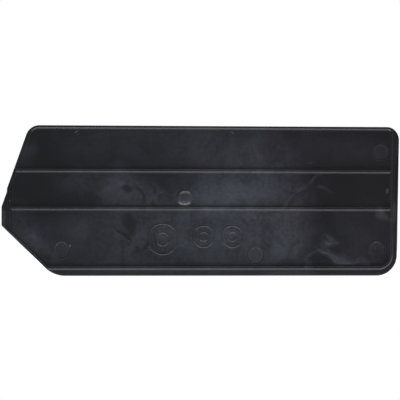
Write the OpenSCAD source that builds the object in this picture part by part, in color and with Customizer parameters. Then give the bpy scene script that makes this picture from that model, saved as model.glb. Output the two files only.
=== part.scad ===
// Lengthwise divider for a hopper-front hanging bin, one moulding in black polypropylene.
// It stands upright as it does in the bin: the nose towards -X, the rear edge towards +X,
// the ribbed face towards -Y and the flat face towards +Y. The origin is under its middle.

/* [Panel] */
// Length from the nose to the furthest point of the rear edge
length = 262.7; // [200:0.1:400]
// Height from the bottom edge to the top edge
height = 98.4; // [90:0.1:140]
// Thickness of the flat wall and of the tongues round it
wall = 2; // [1.6:0.1:4]

/* [Front end] */
// Height at which the upright nose edge starts
nose_foot = 32.8; // [26:0.1:36]
// Height at which the rim's outer line would meet the nose edge
nose_head = 47.1; // [42:0.1:54]
// Lean of the upper front edge from upright, in degrees
front_lean = 19.5; // [5:0.5:35]
// Rise of the lower front edge from level, in degrees
belly_rise = 44; // [35:0.5:60]
// How far the nose tongue stands back from the rim on the upper front edge
nose_relief = 0.65; // [0.2:0.05:1]

/* [Rear end] */
// Lean of the rear edge from upright, in degrees, top outwards
rear_lean = 0.9; // [0:0.1:5]

/* [Corners] */
// Radius of the corner under the belly
bottom_front_r = 18; // [8:0.5:24]
// Radius of the bottom rear corner
bottom_rear_r = 13.5; // [10:0.5:20]
// Radius of the top rear corner
top_rear_r = 8.5; // [5:0.5:16]
// Radius of the top front corner
top_front_r = 9; // [6:0.5:16]
// Radius of the two nose corners
nose_r = 1.5; // [1.4:0.1:3]

/* [Bead section] */
// Height of the rim and of the ribs above the wall
bead_h = 1.2; // [0.6:0.1:2]
// Width of their flat crown
crown_w = 1.3; // [0.8:0.1:2]
// Rise of their flanks from the wall, in degrees
flank_rise = 45; // [40:1:70]
// Radius along the edges of the crown
crown_r = 0.35; // [0.1:0.05:0.45]

/* [Tongues] */
// Free width of the nose tongue, from the nose edge to the rim
nose_tongue = 3.5; // [2.5:0.1:5]
// Free width of the bottom tongue
bottom_tongue = 3.6; // [2.5:0.1:5]
// Free width of the rear tongue
rear_tongue = 2.6; // [2.5:0.1:5]
// Chamfer that leads the tongues into their grooves
lead_in = 0.6; // [0.3:0.05:0.7]
// Chamfer along the outer edges of the rim
edge_break = 0.3; // [0.1:0.05:0.35]
// Bend radius of the rim's centre line where it leaves or joins a tongue
rim_bend_r = 3.2; // [3:0.1:5]

/* [Ribs] */
// Height of the lower rib's centre line
low_rib_z = 44.4; // [40:0.1:50]
// Height of the upper rib's centre line
high_rib_z = 69.2; // [60:0.1:80]

/* [Gate] */
// Distance of the gate from the nose
gate_x = 119.9; // [80:0.1:180]
// Height of the gate
gate_z = 51.6; // [51:0.1:58]
// Diameter of the raised pad opposite the gate
pad_d = 11; // [8:0.1:12]
// Height of the pad above the wall
pad_h = 1.2; // [0.5:0.1:1.5]
// Radius that rounds the pad's shoulder
pad_shoulder_r = 5; // [2:0.5:8]
// Diameter of the dimple round the gate on the flat face
dimple_d = 7; // [5:0.1:8]
// Depth of the dimple
dimple_h = 0.9; // [0.5:0.1:1.2]
// Diameter of the gate's stub in the dimple
stub_d = 1.6; // [1:0.1:3]
// Height of the stub above the dimple's floor
stub_h = 0.5; // [0.2:0.1:0.8]

/* [Ejector pins] */
// Diameter of the dished marks that the ejector pins leave
pin_d = 10.4; // [6:0.1:12]
// Depth of the marks
pin_h = 0.25; // [0.05:0.05:0.4]
// Height of the burr round each mark
burr_h = 0.15; // [0.05:0.05:0.25]
// Width of the burr's crest
burr_land = 0.1; // [0.05:0.05:0.2]
// Width of the burr's outer slope
burr_w = 0.4; // [0.3:0.05:0.6]
// Distance of the front pin from the nose
front_pin_x = 39.3; // [38:0.1:60]
// Distance of the middle pin from the nose
middle_pin_x = 167; // [90:0.5:180]
// Height of the middle pin
middle_pin_z = 13.3; // [13.3:0.1:30]
// Distance of the low rear pin from the rear end
low_pin_x = 14.7; // [13:0.1:30]
// Distance of the high rear pin from the rear end
high_pin_x = 12.4; // [12.4:0.1:30]
// Distance of the front and rear pins from the bottom or the top edge
edge_pin_z = 16.8; // [14:0.1:22]

/* [Hidden] */
$fn = 96;

nose_x = -length / 2;
front_z = wall + bead_h; // the crowns' level above the flat face
half_crown = crown_w / 2;
bevel = crown_r * tan(flank_rise / 2); // how far the crown's radius reaches from its corner
half_foot = half_crown + bead_h / tan(flank_rise); // half a bead's width at the wall

// Every outline runs anticlockwise, seen from the ribbed face, along six straight edges:
// bottom, rear, top, upper front, nose and lower front. An edge is [a point on it, heading].
function ahead(heading) = [cos(heading), sin(heading)];
function inward(heading) = [-sin(heading), cos(heading)];
function meet(e, f) =
    e[0] + ahead(e[1]) * cross(f[0] - e[0], ahead(f[1])) / cross(ahead(e[1]), ahead(f[1]));

rear_corner_x = length / 2 + top_rear_r * (tan((90 + rear_lean) / 2) - 1);
EDGES = [
    [[0, 0], 0],
    [[rear_corner_x, height], 90 - rear_lean],
    [[0, height], 180],
    [[nose_x, nose_head], 270 - front_lean],
    [[nose_x, 0], 270],
    [[nose_x, nose_foot], 360 - belly_rise]
];
CORNER_RADII = [bottom_front_r, bottom_rear_r, top_rear_r, top_front_r, nose_r, nose_r];
SIDES = [0:len(EDGES) - 1];

// The edges moved inwards, each by its own distance
function inset(by) = [for (i = SIDES) [EDGES[i][0] + inward(EDGES[i][1]) * by[i], EDGES[i][1]]];

// The tongues' outline: the nose tongue stands back from the rim
WALL_EDGES = inset([0, 0, 0, nose_relief, 0, 0]);

// The middle of the rim's crown: flush with three edges, and behind a tongue on the other three
RIM_LINE = inset([
    bottom_tongue + half_foot, rear_tongue + half_foot, half_crown,
    half_crown, nose_tongue + half_foot, half_crown
]);
RIM_RADII = [
    rim_bend_r, bottom_rear_r - bottom_tongue - half_foot, rim_bend_r,
    top_front_r - half_crown, rim_bend_r, rim_bend_r
];

// Corner i of an outline lies between edge i - 1 and edge i. Its arc touches both.
function before(edges, i) = edges[(i + len(edges) - 1) % len(edges)];
function turn(edges, i) = (edges[i][1] - before(edges, i)[1] + 360) % 360;
function arc_reach(edges, radii, i) = radii[i] * tan(turn(edges, i) / 2);
function arc_start(edges, radii, i) =
    meet(before(edges, i), edges[i]) - ahead(before(edges, i)[1]) * arc_reach(edges, radii, i);
function arc_end(edges, radii, i) =
    meet(before(edges, i), edges[i]) + ahead(edges[i][1]) * arc_reach(edges, radii, i);
function arc_centre(edges, radii, i) = arc_end(edges, radii, i) + inward(edges[i][1]) * radii[i];

// A slab with round corners and chamfered edges, stretched over a chamfered disc at each corner
module slab(edges, thickness, chamfer) {
    hull() for (i = SIDES) translate(arc_centre(edges, CORNER_RADII, i)) {
        cylinder(h = thickness, r = CORNER_RADII[i] - chamfer);
        translate([0, 0, chamfer]) cylinder(h = thickness - 2 * chamfer, r = CORNER_RADII[i]);
    }
}

// Sweeps a section round an outline: a straight run along each edge, and a revolved piece at
// each corner. The section's x runs inwards from the outline, and its y up from the flat face.
module sweep(edges, radii) {
    for (i = SIDES) {
        start = arc_end(edges, radii, i);
        run = norm(arc_start(edges, radii, (i + 1) % len(edges)) - start);
        translate(start) rotate(edges[i][1]) rotate([90, 0, 90]) linear_extrude(run) children();
        translate(arc_centre(edges, radii, i))
            rotate_extrude(start = before(edges, i)[1] - 90, angle = turn(edges, i))
                translate([radii[i], 0]) mirror([1, 0]) children();
    }
}

// The section of the rim and of the ribs: a flat crown with round edges, and sloping flanks
module bead_section() {
    for (side = [0, 1]) mirror([side, 0]) {
        polygon([
            [0, 0], [half_foot, 0], [half_foot, wall],
            [half_crown + bevel * cos(flank_rise), front_z - bevel * sin(flank_rise)],
            [half_crown - bevel, front_z], [0, front_z]
        ]);
        translate([half_crown - bevel, front_z - crown_r]) circle(crown_r);
    }
}

// The rim and the two lengthwise ribs, trimmed to the panel's outline
module beads() {
    intersection() {
        slab(EDGES, front_z, edge_break);
        union() {
            sweep(RIM_LINE, RIM_RADII) bead_section();
            for (z = [low_rib_z, high_rib_z]) rib(z);
        }
    }
}

// A lengthwise rib that ends under the rim's crown, or at the upper front edge
module rib(z) {
    level = [[0, z], 0];
    front = max(meet(level, EDGES[3])[0], meet(level, RIM_LINE[4])[0]);
    rear = meet(level, RIM_LINE[1])[0];
    translate([front, z]) rotate([90, 0, 90]) linear_extrude(rear - front) bead_section();
}

module gate_pad() {
    shoulder = sqrt(pow(pad_shoulder_r, 2) - pow(pad_shoulder_r - pad_h, 2));
    flat = pad_d / 2 - shoulder;
    translate([nose_x + gate_x, gate_z]) rotate_extrude() {
        square([pad_d / 2, wall]);
        square([flat, wall + pad_h]);
        intersection() {
            translate([flat, wall + pad_h - pad_shoulder_r]) circle(pad_shoulder_r);
            square([pad_d / 2, wall + pad_h]);
        }
    }
}

// A shallow dimple with the stub of the gate standing in it
module gate_dimple() {
    ball_r = (pow(dimple_d / 2, 2) + pow(dimple_h, 2)) / (2 * dimple_h);
    translate([nose_x + gate_x, gate_z]) difference() {
        translate([0, 0, dimple_h - ball_r]) sphere(ball_r);
        translate([0, 0, dimple_h - stub_h]) cylinder(h = wall, d = stub_d);
    }
}

// Puts its children at each ejector pin, on the ribbed face
module at_pins() {
    rear_x = length / 2;
    for (p = [
        [nose_x + front_pin_x, edge_pin_z], [nose_x + middle_pin_x, middle_pin_z],
        [rear_x - low_pin_x, edge_pin_z], [rear_x - high_pin_x, height - edge_pin_z]
    ])
        translate([p[0], p[1], wall]) children();
}

// The pins stand a little proud of the mould, and plastic creeps up round them: each leaves a
// flat dish with 45 degree sides, and a burr round it that carries those sides on
module pin_burrs() {
    burr_d = pin_d + 2 * burr_h + 2 * burr_land;
    at_pins() cylinder(h = burr_h, d1 = burr_d + 2 * burr_w, d2 = burr_d);
}

module pin_dishes() {
    at_pins() translate([0, 0, -pin_h])
        cylinder(h = pin_h + bead_h, d1 = pin_d - 2 * pin_h, d2 = pin_d + 2 * bead_h);
}

module divider_panel() {
    color("#26272b") rotate([90, 0, 0]) translate([0, 0, -front_z / 2]) difference() {
        union() {
            slab(WALL_EDGES, wall, lead_in);
            beads();
            gate_pad();
            pin_burrs();
        }
        gate_dimple();
        pin_dishes();
    }
}

divider_panel();
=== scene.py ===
"""A lengthwise divider for a hanging parts bin, standing on a pale table.

The script runs from top to bottom, one section a piece. Lengths are in metres, in the part's own
frame: +Z up, the nose towards -X, the ribbed face towards -Y and the flat face towards +Y.
"""

import math

import bmesh
import bpy
from mathutils import Matrix, Quaternion, Vector


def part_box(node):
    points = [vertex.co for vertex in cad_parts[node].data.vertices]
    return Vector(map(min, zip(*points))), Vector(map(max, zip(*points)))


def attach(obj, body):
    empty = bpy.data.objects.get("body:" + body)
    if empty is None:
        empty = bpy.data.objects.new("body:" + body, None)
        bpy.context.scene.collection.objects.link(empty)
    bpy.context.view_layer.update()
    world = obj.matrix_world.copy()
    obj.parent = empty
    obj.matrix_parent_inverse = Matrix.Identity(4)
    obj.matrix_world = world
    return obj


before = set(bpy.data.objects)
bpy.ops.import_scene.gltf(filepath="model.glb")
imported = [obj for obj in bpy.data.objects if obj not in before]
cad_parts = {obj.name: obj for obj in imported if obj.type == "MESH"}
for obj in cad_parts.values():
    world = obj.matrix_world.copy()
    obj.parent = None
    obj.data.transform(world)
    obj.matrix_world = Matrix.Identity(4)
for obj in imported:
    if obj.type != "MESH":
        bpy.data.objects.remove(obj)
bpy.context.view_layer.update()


# ---------------------------------------------------------------------------------- the panel
# One injection moulding in black polypropylene, 2 mm thick, with a raised rim and two ribs. The
# mould was polished, so the skin is a satin black that shows every haze, smear and rub: wiped
# patches and hairline scratches. A broad bluish pale zone round the gate, with a wavy rear edge,
# is a painted reflection of a broad lamp, laid over the haze.

MM = 0.001
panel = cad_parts["divider_panel"]
panel_low, panel_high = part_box("divider_panel")
BEAD_HEIGHT = 1.2 * MM
ribbed_y = panel_low.y + BEAD_HEIGHT  # the wall's ribbed face, at the foot of the beads

# Marks are ovals: x from the nose, z from the bottom edge, half length, half height and lean, in
# millimetres and degrees, and a strength. Clouds, smears and scratches add to the paleness on
# the ribbed face, which is haze with a painted reflection of a broad lamp in it, shades and
# spots take from it, and rubs and knocks are plain grey. One rub is a painted highlight and one
# scratch a painted glint.
CLOUDS_AND_REFLECTION = [
    (168, 48, 48, 50, 0, 0.60),  # the pale zone round and behind the gate: haze and a painted reflection of a broad lamp
    (112, 24, 110, 42, 0, 0.48),  # the low band, along the bottom rim
    (144, 86, 86, 34, 0, 0.34),  # the top band
    (78, 58, 42, 20, -12, 0.50),  # a wedge in front of the gate
    (132, 54, 36, 22, 0, 0.46),
    (98, 57, 13, 13, 0, 0.20),
    (192, 26, 20, 38, -16, 0.24),  # the pale zone's rear edge, a painted reflection
    (16, 26, 34, 22, -40, 0.34),  # along the belly
    (27, 16.5, 22, 6, -43, 0.22),
    (17, 80, 9, 16, -22, 0.24),  # the top of the sloping front
    (62, 88, 60, 26, 0, 0.14),
    (236, 22, 60, 40, 0, 0.16),
    (232, 84, 44, 18, 0, 0.14),
    (180, 16, 18, 16, 0, 0.20),
    (224, 12, 11, 6, -10, 0.38),
    (56, 34, 30, 14, 0, 0.16),
    (44, 62, 20, 12, 0, 0.16),
    (128, 34, 20, 14, 0, 0.14),
    (182, 84, 12, 14, 0, 0.12),
    (119.9, 51.6, 6.4, 6.4, 0, 0.18),  # the gate pad
]
SHADES = [
    (124, 63, 9, 7, 0, 0.30),  # behind the pad
    (178, 82, 12, 11, 20, 0.45),
    (81.5, 54.5, 4.2, 4.2, 0, 0.70),  # a thumb mark
    (83.5, 34, 5, 12, 6, 0.62),  # runs where a drop dried
    (79, 27, 9, 2.2, -38, 0.72),
    (99, 18, 13, 11, 0, 0.42),
    (98, 84, 14, 14, 0, 0.20),
    (30, 84, 7, 18, 0, 0.80),
    (194, 52, 9, 6, 25, 0.30),
    (90, 56, 11, 11, 0, 0.16),
    (248, 16.8, 4.6, 4.6, 0, 0.60),
]
SPOTS = [(96, 56, 22, 11, 0, 0.44), (92, 22, 28, 15, 0, 0.50), (196, 54, 16, 14, 0, 0.50)]
SMEARS = [
    (207, 64, 7, 2.4, 48, 0.52),  # the pale zone's wavy rear edge, a painted reflection of a lamp's edge, in three strokes
    (198, 57, 9, 2.4, 40, 0.50),
    (189, 48.5, 8, 2.4, 35, 0.36),
    (213, 57.5, 6, 2.2, 12, 0.40),
    (194, 19, 11, 2.0, 64, 0.40),
    (216, 23, 7, 4.0, 20, 0.80),  # wisps above the bottom rim
    (216, 14, 14, 4.2, -40, 0.74),
    (230, 10.5, 20, 3.4, -6, 0.60),
    (201, 8, 3.4, 6, 10, 0.55),
    (205, 15, 12, 2.4, 28, 0.36),
    (60, 9.5, 24, 2.2, 4, 0.22),
    (66, 92, 40, 1.6, 1, 0.12),
]
RUBS_AND_HIGHLIGHTS = [
    (130, 1.2, 190, 3.4, 0, 0.17),  # the bottom tongue, rubbed in its groove
    (190, 1.2, 24, 3.0, 0, 0.28),
    (1.2, 38, 2.2, 7.5, 0, 0.34),  # the nose
    (257.2, 50, 1.2, 90, -0.9, 0.20),  # a painted highlight along the rear rim's crown
    (259.5, 42, 2.6, 9, 0, 0.30),
]
KNOCKS = [(252, 39.4, 7.4, 4.2, -38, 0.62), (254.8, 54, 2.2, 3.0, 0, 0.75)]  # by the rear rim
SCRATCHES_AND_GLINT = [
    (48.6, 94.2, 2.4, 0.50, 24, 1.5),
    (49.6, 92.6, 3.0, 0.26, 32, 0.8),
    (151.4, 94.3, 2.2, 0.44, -44, 1.3),
    (5.2, 48.9, 0.7, 0.60, 0, 1.6),
    # a painted glint on the burr beside the front ejector mark
    (44.7, 19.7, 0.7, 1.10, 0, 2.4),
    (150.0, 86.5, 2.0, 0.20, 0, 0.4),
    (203.5, 74.5, 5.0, 0.30, 12, 0.5),
    (246.6, 18.6, 0.5, 1.80, 20, 0.9),
]
GATE = (119.9, 51.6)
PAD = (*GATE, 5.6, 5.6, 0)  # the raised pad over the gate
PAD_AND_FOOT = (*GATE, 6.6, 6.6, 0)
PAD_PLAIN = (119.1, 51.4, 5.3, 5.3, 0)  # the pad's shoulder is painted paler outside this, on its rear side: a painted highlight
HALO = (*GATE, 34, 26, 0)  # the dull ring on the flat face
RIBS = (44.4, 69.2)  # the heights of the ribs' middles
PINS = [(39.3, 16.8), (167, 13.3), (248, 16.8), (250.3, 81.6)]  # the ejector marks
DISH, BURR_INSIDE, BURR_OUTSIDE = 5.2, 4.7, 6.0  # radii at each ejector mark
SHARP = [  # where the burrs round the ejector marks are still sharp
    (38.4, 21.4, 3.8, 2.0, 22),
    (44.9, 19.4, 1.4, 2.6, 0),
    (167.4, 18.6, 4.2, 1.8, 0),
    (171.6, 10.0, 1.6, 2.4, 0),
    (246.4, 21.8, 2.6, 1.4, 0),
    (247.4, 11.7, 2.4, 1.2, 0),
    (252.8, 17.0, 1.4, 2.2, 0),
    (33.6, 14.0, 2.2, 2.6, 0),
    (163.4, 9.4, 2.6, 2.0, 0),
    (248.4, 22.2, 3.0, 1.4, 0),
]

# The colours of clean plastic and of full haze and painted reflection, each towards the rear and
# towards the nose
BLACK = ((0.0142, 0.0130, 0.0156), (0.0131, 0.0134, 0.0152))
HAZE_AND_REFLECTION = ((0.098, 0.094, 0.120), (0.088, 0.095, 0.118))
HUE_TURNS = 40 * MM  # the x at which one pair gives way to the other
RUB_AND_HIGHLIGHT_GREY = (0.100, 0.098, 0.102)
POLISHED = 0.20  # the roughness of clean plastic
SINK_DEPTH = 0.02 * MM
RAGGED = 8 * MM  # how far the edge of a mark may wander


class Shade:
    """A socket in a material. Sums on it add Math nodes, and node() adds any other node."""

    def __init__(self, tree, socket=None):
        self.tree, self.socket = tree, socket

    def node(self, kind, settings=None, inputs=None, output=0):
        made = self.tree.nodes.new("ShaderNode" + kind)
        for name, value in (settings or {}).items():
            setattr(made, name, value)
        for name, value in (inputs or {}).items():
            if isinstance(value, Shade):
                self.tree.links.new(value.socket, made.inputs[name])
            else:
                made.inputs[name].default_value = value
        return Shade(self.tree, made.outputs[output])

    def math(self, operation, *values):
        return self.node("Math", {"operation": operation}, dict(enumerate(values)))

    def __abs__(self):
        return self.math("ABSOLUTE", self)

    def __add__(self, other):
        return self.math("ADD", self, other)

    def __sub__(self, other):
        return self.math("SUBTRACT", self, other)

    def __rsub__(self, other):
        return self.math("SUBTRACT", other, self)

    def __mul__(self, other):
        return self.math("MULTIPLY", self, other)

    __radd__, __rmul__ = __add__, __mul__


def step(value, low, high):
    """0 where value is under low, 1 over high, and smooth between."""
    return value.node(
        "MapRange",
        {"interpolation_type": "SMOOTHSTEP"},
        {"Value": value, "From Min": low, "From Max": high},
    )


def mix(factor, dark, light):
    """A colour from dark at 0 to light at 1, and on past it. Either is three numbers or a shade."""
    ends = [c if isinstance(c, Shade) else (*c, 1) for c in (dark, light)]
    settings = {"data_type": "RGBA", "clamp_factor": False}
    return factor.node("Mix", settings, {0: factor, 6: ends[0], 7: ends[1]}, 2)


def noise(place, size, detail=2, roughness=0.5, stretch=(1, 1, 1)):
    """Noise round 0.5, with lumps of that size in metres, drawn out by stretch."""
    scaled = place.node(
        "VectorMath", {"operation": "MULTIPLY"}, {0: place, 1: [1 / (size * s) for s in stretch]}
    )
    return place.node(
        "TexNoise", {}, {"Vector": scaled, "Scale": 1, "Detail": detail, "Roughness": roughness}
    )


def mark(place, x, z, half_length, half_height, lean):
    """The place as a mark sees it: its middle at 0, and its edge at 1 all round."""
    return place.node(
        "Mapping",
        {"vector_type": "TEXTURE"},
        {
            "Vector": place,
            "Location": (panel_low.x + x * MM, 0, z * MM),
            "Rotation": (0, math.radians(-lean), 0),
            "Scale": (half_length * MM, 1, half_height * MM),
        },
    )


def oval(place, *shape, edge=0.0):
    """1 in the middle of a mark, falling to 0 at its edge."""
    away = place.node("VectorMath", {"operation": "LENGTH"}, {0: mark(place, *shape)}, "Value")
    return 1 - step(away, edge, 1)


def wipe(place, *shape):
    """A mark in streaks that run along it."""
    streaks = noise(mark(place, *shape), 0.42, 3, 0.6, (1.3, 1, 1))
    return oval(place, *shape, edge=0.15) * step(streaks, 0.28, 0.72)


def wander(place):
    """The place shifted about by noise, which gives a mark drawn on it a ragged edge."""
    drift = place.node("TexNoise", {}, {"Vector": place, "Scale": 60, "Detail": 1.5}, "Color")
    span = [2 * RAGGED] * 3
    shifted = place.node(
        "VectorMath", {"operation": "MULTIPLY_ADD"}, {0: drift, 1: span, 2: place}
    )
    return place.node("VectorMath", {"operation": "SUBTRACT"}, {0: shifted, 1: [RAGGED] * 3})


def ribbed_haze_and_reflection(place, ragged):
    """The paleness on the ribbed face: mottled haze with a painted reflection of a broad lamp in
    it, and smears, scratch lines and a painted glint on top.
    """
    clouds_and_reflection = sum(strength * oval(ragged, *shape) for *shape, strength in CLOUDS_AND_REFLECTION)
    for *shape, strength in SHADES:
        clouds_and_reflection = clouds_and_reflection * (1 - strength * oval(ragged, *shape, edge=0.4))
    drops = step(noise(ragged, 4.8 * MM, 1.5, 0.5, (1, 1, 1.2)), 0.52, 0.60)
    for *shape, strength in SPOTS:
        clouds_and_reflection = clouds_and_reflection * (1 - strength * drops * oval(ragged, *shape, edge=0.3))
    lumps = noise(ragged, 22 * MM, 5, 0.62, (1.4, 1, 1)) - 0.5
    patches = noise(ragged, 16 * MM, 2, 0.5, (1, 1, 1.3)) - 0.5
    wiped = step(patches, -0.08, 0.08) - 0.5
    tide = 1 - step(abs(patches), 0, 0.03)  # the pale line along a wiped patch
    speckle = noise(place, 2.6 * MM, 2) - 0.5
    uneven = 1 + 1.4 * lumps + 0.28 * wiped + 0.14 * tide + speckle
    discs = sum(oval(place, *pin, DISH, DISH, 0, edge=0.8) for pin in PINS)
    smears = sum(strength * wipe(ragged, *shape) for *shape, strength in SMEARS)
    scratches_and_glint = sum(strength * oval(place, *shape) for *shape, strength in SCRATCHES_AND_GLINT)
    return clouds_and_reflection * uneven + 0.16 * lumps + 0.12 * discs + smears + scratches_and_glint


def wear_and_highlights(place, ragged):
    """Where the ribbed side is plain grey: worn along the edges and at the knocks, with painted
    highlights on the rear rim's crown and the pad's rear shoulder.
    """
    rubs_and_highlights = sum(strength * oval(place, *shape, edge=0.4) for *shape, strength in RUBS_AND_HIGHLIGHTS)
    knocks = sum(strength * oval(ragged, *shape, edge=0.1) for *shape, strength in KNOCKS)
    # The pad's shoulder is painted paler on its rear side: a painted highlight
    shoulder_highlight = oval(place, *PAD, edge=0.9) * (1 - oval(place, *PAD_PLAIN, edge=0.88))
    patchy = 0.6 + 0.8 * noise(place, 6 * MM, 3, 0.6, (2, 1, 1))
    return (rubs_and_highlights + knocks + 0.30 * shoulder_highlight) * patchy


def worn_burrs(place):
    """The burrs round the ejector marks, but for where they are still sharp."""
    outside = sum(oval(place, *pin, BURR_OUTSIDE, BURR_OUTSIDE, 0, edge=0.92) for pin in PINS)
    inside = sum(oval(place, *pin, BURR_INSIDE, BURR_INSIDE, 0, edge=0.92) for pin in PINS)
    return (outside - inside) * (1 - sum(oval(place, *shape, edge=0.5) for shape in SHARP))


def flat_haze(place, ragged):
    """The flat face's haze: dull round the gate, with hairlines from sliding in and out."""
    halo = oval(ragged, *HALO) * (0.5 + noise(place, 20 * MM, 4, 0.6))
    hairlines = step(noise(place, 1.1 * MM, 2, 0.5, (60, 1, 1)), 0.60, 0.72)
    slid = step(noise(ragged, 50 * MM, 3), 0.40, 0.62)
    return 0.45 * halo + slid * (0.22 + 0.50 * hairlines)


def new_plastic(name, beads):
    """Black polypropylene with everything that moulding and handling left on it, and with a painted
    reflection, painted highlights and painted shade.

    Beads is 1 for a piece with beads. Their flanks get less of the paleness than the wall, a
    painted shade, and the mould's polish didn't reach into the corner at their foot, where the
    plastic is rough.
    """
    material = bpy.data.materials.new(name)
    material.use_nodes = True
    tree = material.node_tree
    tree.nodes.clear()
    start = Shade(tree)
    place = start.node("TexCoord", output="Object")
    x, y, z = (place.node("SeparateXYZ", {}, {0: place}, axis) for axis in "XYZ")
    ragged = wander(place)

    # Where a point lies across the panel's thickness
    near = 1 - step(y, ribbed_y + 0.6 * MM, ribbed_y + 0.9 * MM)  # the ribbed face's side
    far = step(y, panel_high.y - 0.1 * MM, panel_high.y - 0.02 * MM)  # the flat face
    wall = step(y, ribbed_y - 0.06 * MM, ribbed_y - 0.01 * MM)
    beads = beads * (1 - oval(place, *PAD_AND_FOOT, edge=0.9))  # the pad is no bead
    # The beads' flanks are painted darker than the wall: painted shade
    shaded_flank = beads * (step(y, panel_low.y + 0.25 * MM, panel_low.y + 0.45 * MM) - wall)
    foot = beads * (step(y, ribbed_y - 0.55 * MM, ribbed_y - 0.40 * MM) - wall)

    rubbed_and_highlit = near * wear_and_highlights(place, ragged)
    burrs = near * worn_burrs(place)
    sinks = sum(1 - step(abs(z - rib * MM), 0.4 * MM, 2.4 * MM) for rib in RIBS)
    # The burr rings round the ejector marks are painted a little darker: painted shade
    ribbed_side = ribbed_haze_and_reflection(place, ragged) * (1 - 0.6 * shaded_flank) - 0.08 * burrs
    # The sink lines are also painted paler: a painted sheen where they show in reflection
    flat_side = flat_haze(place, ragged) + 0.16 * sinks
    pallor = near * ribbed_side + far * flat_side + 0.05
    pallor = pallor.math("MAXIMUM", pallor, 0)

    nosewards = step(noise(place, 50 * MM, 2) - 2.8 * (x - HUE_TURNS), 0.38, 0.62)
    # The paleness mixes the colour towards the pale pair: haze, with a painted reflection round the
    # gate
    paled = mix(pallor, mix(nosewards, *BLACK), mix(nosewards, *HAZE_AND_REFLECTION))
    grain = noise(place, 0.5 * MM, 2)
    relief = 0.15 * grain - far * sinks
    shader = start.node(
        "BsdfPrincipled",
        {},
        {
            "Base Color": mix(rubbed_and_highlit, paled, RUB_AND_HIGHLIGHT_GREY),
            "Roughness": POLISHED + 0.06 * pallor + 0.05 * rubbed_and_highlit + 0.7 * burrs + 0.75 * near * foot,
            "IOR": 1.49,
            "Specular IOR Level": 0.8,
            "Normal": start.node("Bump", {}, {"Distance": SINK_DEPTH, "Height": relief}),
        },
    )
    tree.links.new(shader.socket, tree.nodes.new("ShaderNodeOutputMaterial").inputs["Surface"])
    return material


panel.material_slots[0].material = new_plastic("black_polypropylene", beads=1)


# ----------------------------------------------------------------------------------- the dials
# Date dials: turnable steel inserts in the mould leave raised rings, ticks, numbers and an arrow
# on the wall. The rings and ticks are cut with a ball cutter, so they stand up half round, and
# the numbers and the arrow have flat tops and bevelled sides.

engraved = new_plastic("engraved_polypropylene", beads=0)
RIDGE_RADIUS = 0.36 * MM
SUNK = 0.05 * MM  # how far the lines reach into the wall
UNDERSIDE = 0.3 * MM  # the depth past which a ridge's points lie along its underside
WELD = 0.0005 * MM  # points closer than this are one
CREASE = math.radians(40)  # an edge that turns more than this stays sharp
RING_POINTS = 64
HUB, NUMBERS, TICKS = 0.42, 0.69, (0.87, 0.93)  # where they lie, as shares of a dial's radius
ARROW = [(0, 0.72), (0.42, 0.12), (0.13, 0.12), (0.13, -0.68)]  # one side, as shares of the hub's
ARROW_BEVEL = 0.12 * MM
NUMBER_BEVEL = 0.05  # as a share of the number's size


def as_mesh(curve):
    """The mesh that a curve or a text makes."""
    holder = bpy.data.objects.new("holder", curve)
    bpy.context.scene.collection.objects.link(holder)
    graph = bpy.context.evaluated_depsgraph_get()
    mesh = bpy.data.meshes.new_from_object(holder.evaluated_get(graph))
    bpy.data.objects.remove(holder)
    return mesh


def on_circle(radius, share):
    """A point on a circle, at that share of a turn clockwise from the top."""
    return Vector((radius * math.sin(math.tau * share), radius * math.cos(math.tau * share), 0))


def ridge(points, closed=False):
    """A raised half round line through the points."""
    curve = bpy.data.curves.new("ridge", "CURVE")
    curve.dimensions, curve.bevel_depth, curve.bevel_resolution = "3D", RIDGE_RADIUS, 2
    curve.use_fill_caps = not closed
    line = curve.splines.new("POLY")
    line.points.add(len(points) - 1)
    for point, place in zip(line.points, points):
        point.co = (*place, 1)
    line.use_cyclic_u = closed
    return as_mesh(curve)


def ring(radius):
    points = [on_circle(radius, i / RING_POINTS) for i in range(RING_POINTS)]
    return ridge(points, closed=True)


def number(text, middle, size):
    curve = bpy.data.curves.new("number", "FONT")
    curve.body, curve.size = text, size
    curve.align_x = curve.align_y = "CENTER"
    curve.extrude, curve.resolution_u = SUNK, 5
    curve.bevel_depth, curve.bevel_resolution = NUMBER_BEVEL * size, 1
    mesh = as_mesh(curve)
    mesh.transform(Matrix.Translation(middle))
    return mesh


def arrow(hub, pointer):
    """A raised arrow across a hub of that radius, pointing at that share of a turn."""
    curve = bpy.data.curves.new("arrow", "CURVE")
    curve.dimensions, curve.fill_mode, curve.extrude = "2D", "BOTH", SUNK
    curve.bevel_depth, curve.bevel_resolution = ARROW_BEVEL, 1
    line = curve.splines.new("POLY")
    outline = ARROW + [(-across, along) for across, along in reversed(ARROW[1:])]
    line.points.add(len(outline) - 1)
    turn = Matrix.Rotation(-math.tau * pointer, 3, "Z")
    for point, (across, along) in zip(line.points, outline):
        point.co = (*(turn @ (hub * Vector((across, along, 0)))), 1)
    line.use_cyclic_u = True
    return as_mesh(curve)


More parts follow.
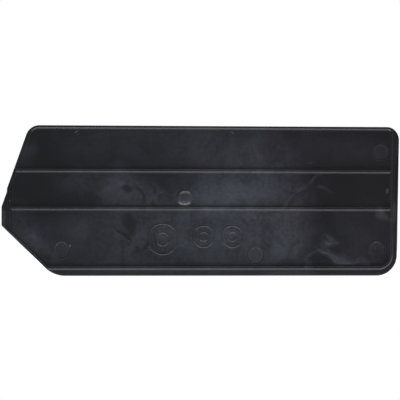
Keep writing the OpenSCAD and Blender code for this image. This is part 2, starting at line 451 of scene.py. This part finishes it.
def new_dial(name, x, z, radius, labels, ticks, pointer, size):
    """A dial whose middle is x from the nose and z from the bottom edge, in millimetres.

    Its labels, numbers of that size, go round clockwise from the top. Its arrow points at
    pointer, a share of a turn clockwise from the top.
    """
    hub = HUB * radius
    lines = [ring(radius), ring(hub), arrow(hub, pointer)]
    for i in range(ticks):
        lines.append(ridge([on_circle(share * radius, i / ticks) for share in TICKS]))
    for i, text in enumerate(labels):
        lines.append(number(text, on_circle(NUMBERS * radius, i / len(labels)), size))
    form = bmesh.new()
    for line in lines:
        form.from_mesh(line)
        bpy.data.meshes.remove(line)
    bmesh.ops.remove_doubles(form, verts=form.verts, dist=WELD)
    middle = Vector((panel_low.x + x * MM, ribbed_y, z * MM))
    form.transform(Matrix.Translation(middle) @ Matrix.Rotation(math.radians(90), 4, "X"))

    # The undersides are laid flat just inside the wall
    deepest = [e for e in form.edges if all(v.co.y > ribbed_y + UNDERSIDE for v in e.verts)]
    bmesh.ops.dissolve_edges(form, edges=deepest, use_verts=True)
    for vert in form.verts:
        vert.co.y = min(vert.co.y, ribbed_y + SUNK)

    mesh = bpy.data.meshes.new(name)
    form.to_mesh(mesh)
    form.free()
    mesh.shade_smooth()
    mesh.set_sharp_from_angle(angle=CREASE)
    mesh.materials.append(engraved)
    dial = bpy.data.objects.new(name, mesh)
    bpy.context.scene.collection.objects.link(dial)
    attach(dial, "root")


months = ["12", *map(str, range(1, 12))]
days = ["30", "5", "10", "15", "20", "25"]
years = list("0123456789")
new_dial("month_dial", 105.4, 23.8, 10 * MM, months, ticks=12, pointer=7 / 12, size=3.1 * MM)
new_dial("day_dial", 132.5, 25.5, 7 * MM, days, ticks=0, pointer=0.4, size=2.3 * MM)
new_dial("year_dial", 151.5, 25.5, 7 * MM, years, ticks=10, pointer=0.6, size=2.2 * MM)


# ------------------------------------------------------------------------ the table and the room
# The divider stands on a matt pale table top, in a dim room that shows as plain white. Neither
# is part of the object.

GLOW_FADES = 30 * MM


def new_paper(name, colour, glow):
    """Pale paper that is white to the camera and still takes a shadow.

    In reflections it is white at its front edge, and falls to glow further back.
    """
    material = bpy.data.materials.new(name)
    material.use_nodes = True
    tree = material.node_tree
    tree.nodes.clear()
    start = Shade(tree)
    seen = start.node("LightPath", output="Is Camera Ray")
    mirrored = start.node("LightPath", output="Is Glossy Ray")
    place = start.node("TexCoord", output="Object")
    y = place.node("SeparateXYZ", {}, {0: place}, "Y")
    glow = 1 - (1 - glow) * step(y, panel_high.y, panel_high.y + GLOW_FADES)
    paper = start.node("BsdfDiffuse", {}, {"Color": (*colour, 1)})
    light = start.node("Emission", {}, {"Color": seen + mirrored * glow, "Strength": 1})
    both = start.node("AddShader", {}, {0: paper, 1: light})
    tree.links.new(both.socket, tree.nodes.new("ShaderNodeOutputMaterial").inputs["Surface"])
    return material


TABLE_FRONT, TABLE_BACK, TABLE_SIDE = panel_low.y + 0.5 * MM, 0.8, 0.7
table_mesh = bpy.data.meshes.new("table")
table_mesh.from_pydata(
    [
        (-TABLE_SIDE, TABLE_FRONT, 0),
        (TABLE_SIDE, TABLE_FRONT, 0),
        (TABLE_SIDE, TABLE_BACK, 0),
        (-TABLE_SIDE, TABLE_BACK, 0),
    ],
    [],
    [(0, 1, 2, 3)],
)
table_mesh.materials.append(new_paper("table_top", (0.85, 0.85, 0.85), 0.4))
table = bpy.data.objects.new("table", table_mesh)
bpy.context.scene.collection.objects.link(table)

ROOM_BRIGHTNESS = 0.08  # what it adds to the lamps
world = bpy.data.worlds.new("room")
bpy.context.scene.world = world
world.use_nodes = True
world.node_tree.nodes.clear()
room = Shade(world.node_tree)
seen = room.node("LightPath", output="Is Camera Ray")
dim = room.node("Background", {}, {"Color": (1, 1, 1, 1), "Strength": ROOM_BRIGHTNESS})
white = room.node("Background", {}, {"Color": (1, 1, 1, 1), "Strength": 1})
either = room.node("MixShader", {}, {0: seen, 1: dim, 2: white})
room_output = world.node_tree.nodes.new("ShaderNodeOutputWorld")
world.node_tree.links.new(either.socket, room_output.inputs["Surface"])


# ----------------------------------------------------------------------------------- the lamps
# Broad soft lamps of a cool white: one in front and above, a fainter one in front and below, a
# bright one under the table's front edge that lights the beads' lower flanks, and one behind for
# the flat face.

COOL_WHITE = (0.98, 1, 1.04)
LIT_SPOT = Vector((0, 0, 0.05))  # the middle of the panel


def new_lamp(name, azimuth, elevation, distance, size, brightness):
    """A flat lamp of that brightness, 1 being white, seen from the panel in that direction."""
    light = bpy.data.lights.new(name, "AREA")
    light.shape, light.size, light.size_y = "RECTANGLE", *size
    light.color = COOL_WHITE
    light.energy = brightness * math.pi * size[0] * size[1]
    lamp = bpy.data.objects.new(name, light)
    bpy.context.scene.collection.objects.link(lamp)
    azimuth, elevation = math.radians(azimuth), math.radians(elevation)
    away = Vector(
        (
            math.sin(azimuth) * math.cos(elevation),
            -math.cos(azimuth) * math.cos(elevation),
            math.sin(elevation),
        )
    )
    lamp.location = LIT_SPOT + distance * away
    lamp.rotation_euler = (-away).to_track_quat("-Z", "Y").to_euler()


new_lamp("front_lamp", 10, 33, distance=1.7, size=(2.4, 0.9), brightness=1.4)
new_lamp("fill_lamp", 10, -38, distance=1.7, size=(3.0, 1.1), brightness=0.35)
new_lamp("low_lamp", 0, -68, distance=0.9, size=(1.6, 0.6), brightness=2.7)
new_lamp("rear_lamp", 180, 38, distance=1.7, size=(2.2, 1.2), brightness=1.4)


# ----------------------------------------------------------------------------------- the camera
# A long lens level with the panel's middle, 1.7 m in front of it. It is turned 6 degrees, so that
# the nose is a little nearer, and hardly rolled.

YAW, ROLL = math.radians(6.17), math.radians(0.139)
DISTANCE = 1.684
AIM = Vector((panel_low.x + 129.92 * MM, panel_low.y, 49.82 * MM))
camera_data = bpy.data.cameras.new("camera")
camera_data.sensor_width, camera_data.lens = 36, 230.8
camera = bpy.data.objects.new("camera", camera_data)
bpy.context.scene.collection.objects.link(camera)
heading = Vector((math.sin(YAW), math.cos(YAW), 0))
camera.location = AIM - DISTANCE * heading
camera.rotation_mode = "QUATERNION"
camera.rotation_quaternion = Quaternion(heading, -ROLL) @ heading.to_track_quat("-Z", "Y")
bpy.context.scene.camera = camera

bpy.context.scene.view_settings.view_transform = "Standard"
